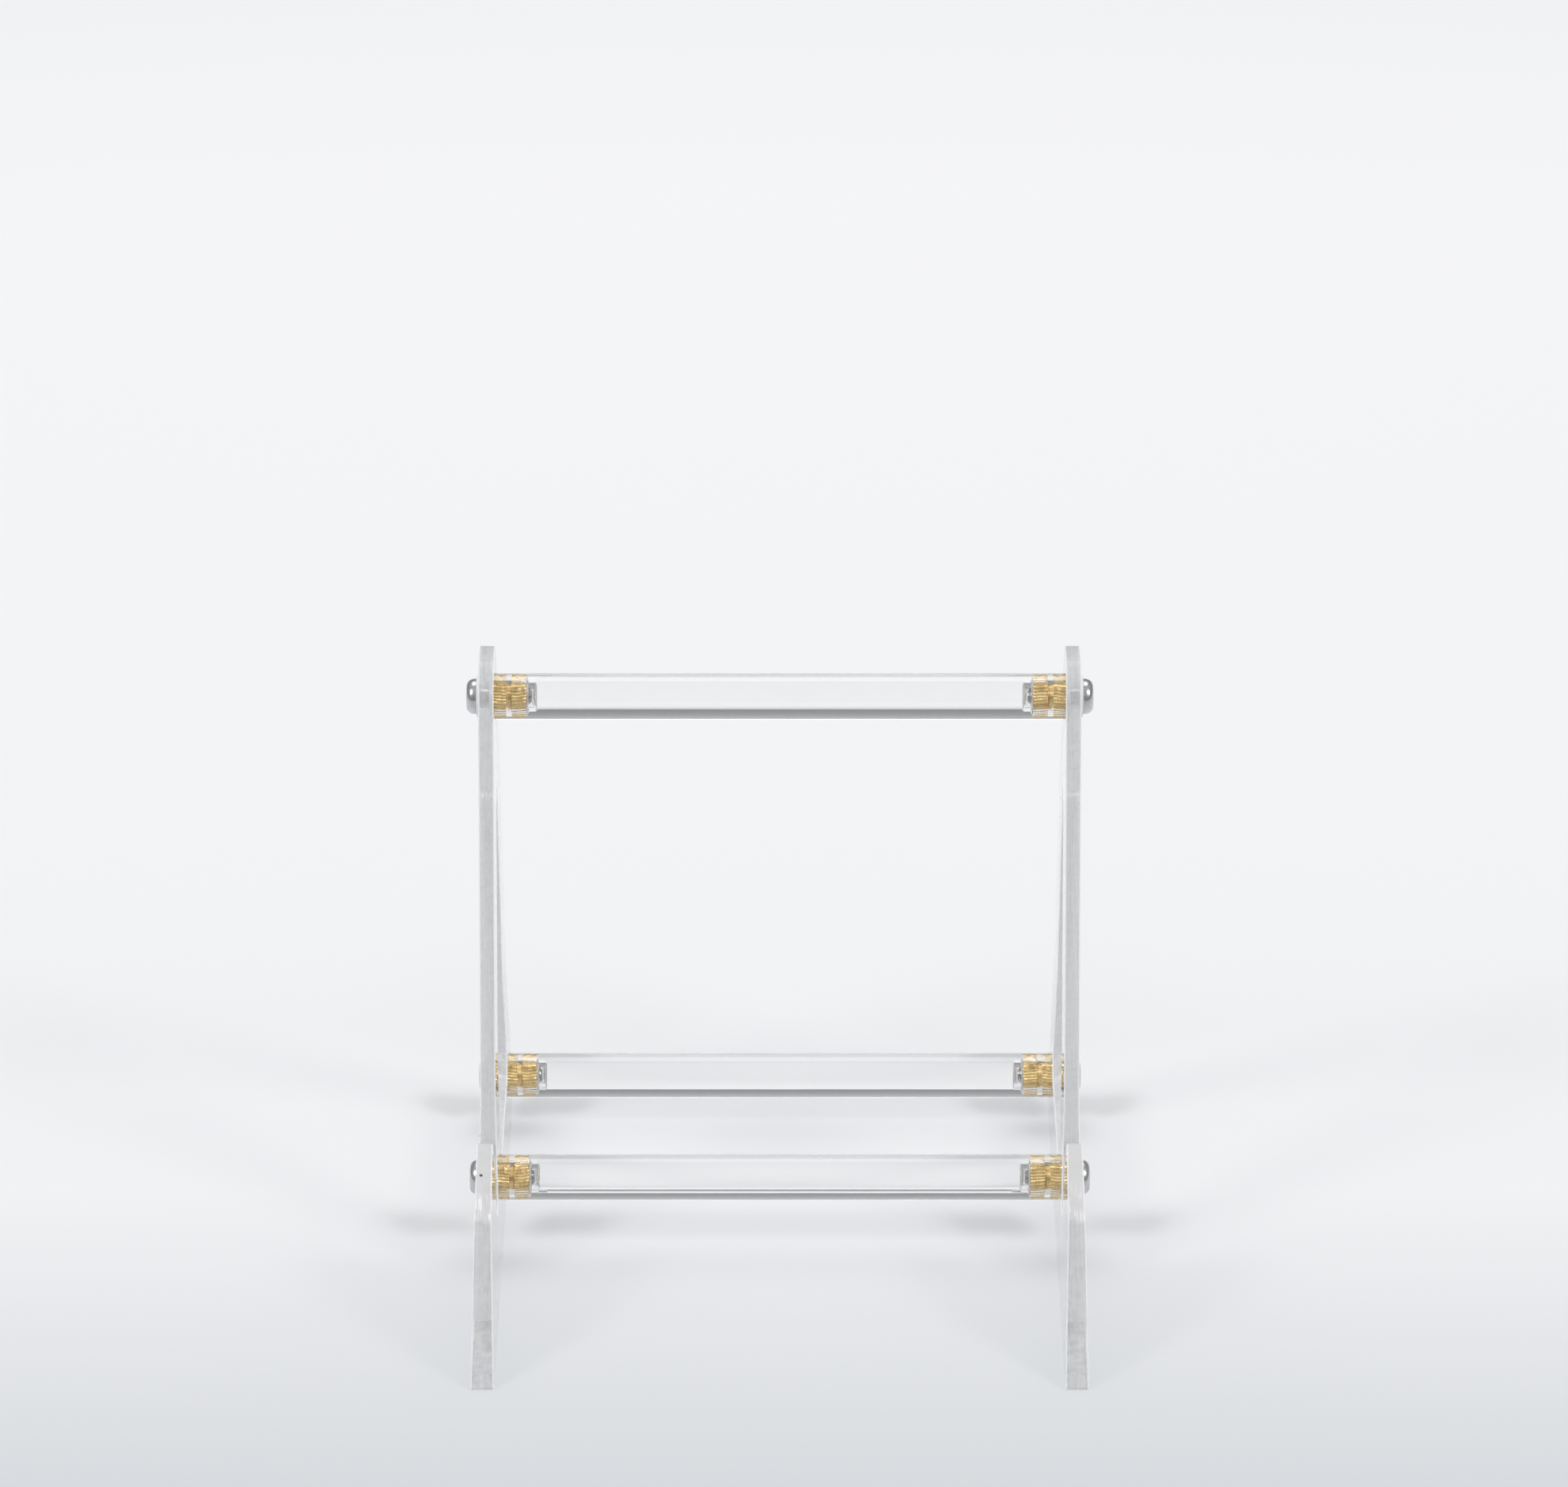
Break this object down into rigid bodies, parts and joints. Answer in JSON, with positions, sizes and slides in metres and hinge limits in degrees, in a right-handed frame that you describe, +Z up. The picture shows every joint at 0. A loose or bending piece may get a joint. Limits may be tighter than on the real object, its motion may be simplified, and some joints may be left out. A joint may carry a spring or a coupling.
{
  "type": "plate display stand",
  "caption": "Clear acrylic stand that holds a plate upright: edge-on side frames with lipped front arms, plate notches and leaning back rests, joined by round crossbars.",
  "frame": {"origin": "on the floor, midway between the side frames and midway from the toe of a side frame to its heel", "axes": "+Z up, front arms towards -Y, +X to the right seen from the front"},
  "size_m": [0.134, 0.1288, 0.128],
  "materials": {
    "clear_acrylic": "water-clear acrylic, polished faces, hazy cut edges with white arrises, light scuffs low on the lips",
    "clear_rod": "water-clear acrylic rod, polished",
    "insert_brass": "machined, knurled outside",
    "screw_steel": "plain stainless",
    "washer_nylon": "natural nylon, slightly translucent"
  },
  "bodies": {
    "root": {"side_frame_left": "clear_acrylic", "side_frame_right": "clear_acrylic", "lower_crossbar": "clear_rod", "rear_crossbar": "clear_rod", "upper_crossbar": "clear_rod", "threaded_inserts": "insert_brass", "crossbar_screws": "screw_steel", "screw_washers": "washer_nylon"}
  },
  "joints": []
}
